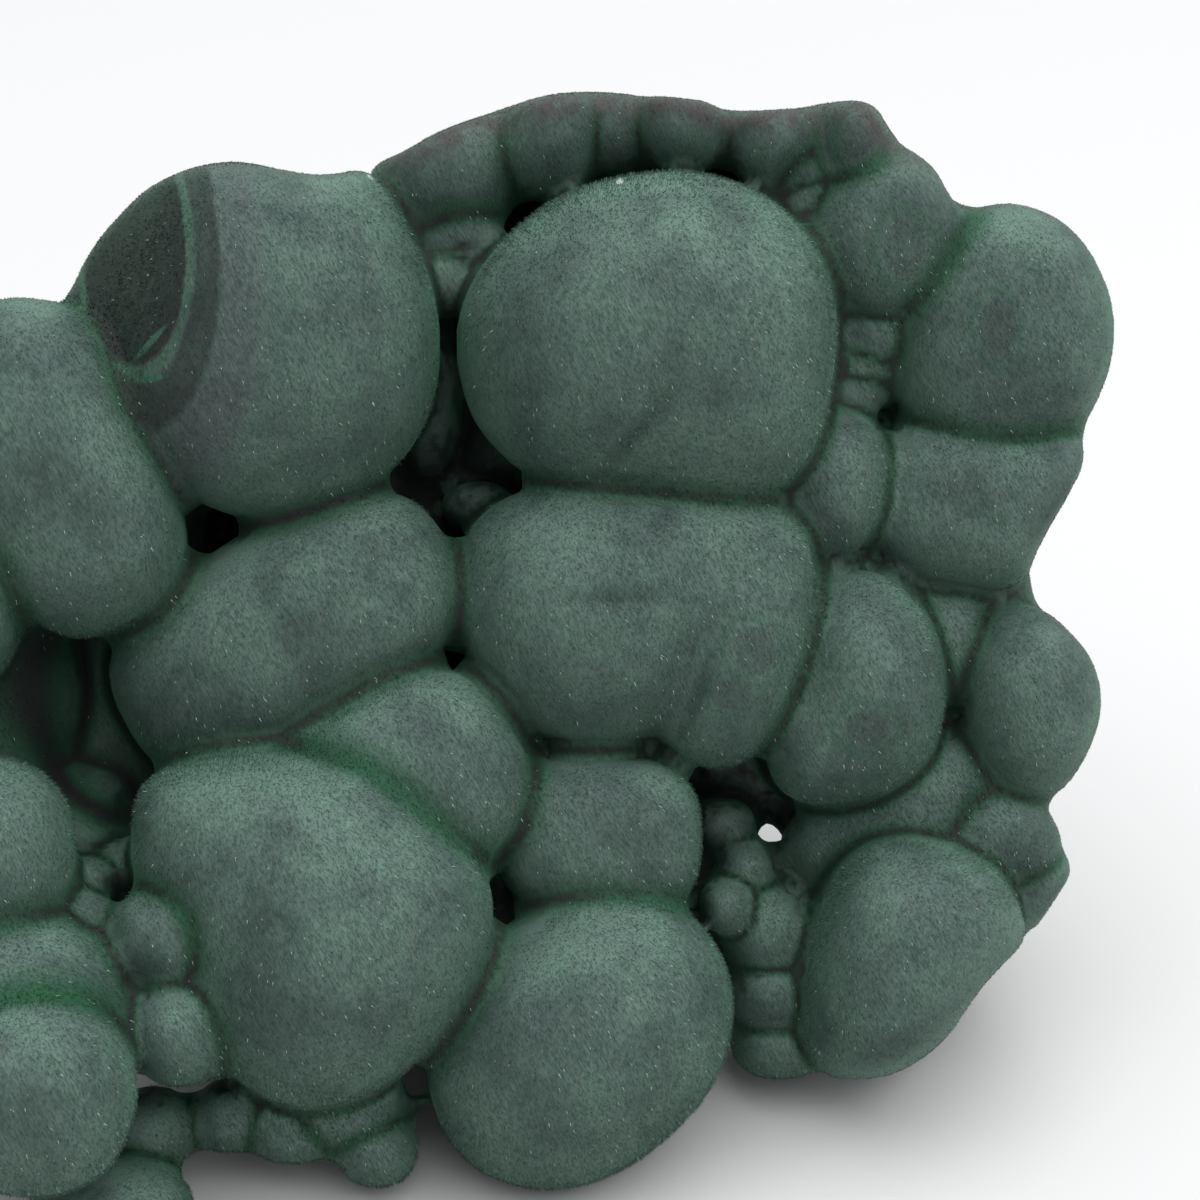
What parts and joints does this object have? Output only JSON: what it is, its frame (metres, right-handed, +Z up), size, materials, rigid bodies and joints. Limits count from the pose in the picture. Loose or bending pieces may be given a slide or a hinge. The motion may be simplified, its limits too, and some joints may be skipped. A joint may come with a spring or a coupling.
{
  "type": "botryoidal malachite specimen",
  "caption": "Leaning slab of fused, rounded malachite domes with a velvety matt skin, standing on its lower edge.",
  "frame": {"origin": "middle of the overall box, on the plane of the flats that the stone stands on", "axes": "+X along the slab to the right of its domed face, -Y out of the face, +Z up"},
  "size_m": [0.095, 0.059, 0.0652],
  "materials": {
    "velvet_malachite": "matt grey-green velvet of fine fibres with darker and lighter growth bands"
  },
  "bodies": {
    "root": {"malachite": "velvet_malachite"}
  },
  "joints": []
}
